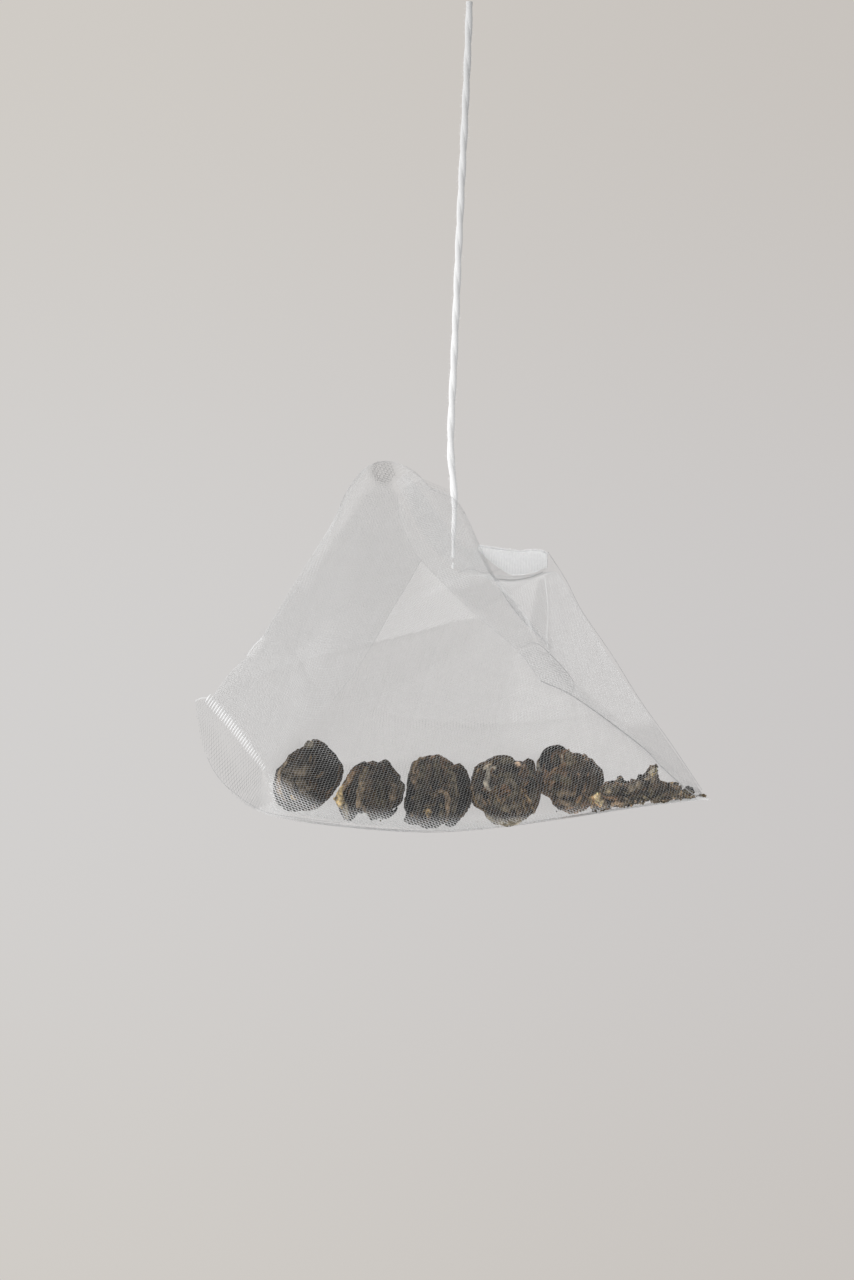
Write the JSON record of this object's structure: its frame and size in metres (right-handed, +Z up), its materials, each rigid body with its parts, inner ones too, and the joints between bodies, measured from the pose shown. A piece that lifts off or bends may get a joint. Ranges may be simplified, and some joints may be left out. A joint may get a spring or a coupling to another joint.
{
  "type": "pyramid tea bag",
  "caption": "Sheer mesh pyramid tea bag with crossed end seals, hanging from a cotton string, with rolled tea pearls and broken leaf inside.",
  "frame": {"origin": "middle of the knot at the top of the string, where the bag hangs", "axes": "+Z up, +X along the bottom seal to its pointed right end, +Y away from the viewer, towards the raised far end of the top seal"},
  "size_m": [0.0636, 0.058, 0.1068],
  "materials": {
    "sheer_film": "sheer white woven mesh film",
    "cotton": "twisted white cotton, matt and slightly fuzzy",
    "rolled_leaf": "dry rolled tea leaf, blue-black to olive with tan and golden buds",
    "broken_leaf": "dry broken tea leaf, dark brown with tan flecks"
  },
  "bodies": {
    "root": {"mesh_bag": "sheer_film", "string_weld": "sheer_film", "cotton_string": "cotton", "string_knot": "cotton", "tea_pearl_1": "rolled_leaf", "tea_pearl_2": "rolled_leaf", "tea_pearl_3": "rolled_leaf", "tea_pearl_4": "rolled_leaf", "tea_pearl_5": "rolled_leaf", "leaf_crumb_1": "broken_leaf", "leaf_crumb_2": "broken_leaf", "leaf_crumb_3": "broken_leaf", "leaf_crumb_4": "broken_leaf", "leaf_crumb_5": "broken_leaf", "leaf_crumb_6": "broken_leaf", "leaf_crumb_7": "broken_leaf"}
  },
  "joints": []
}
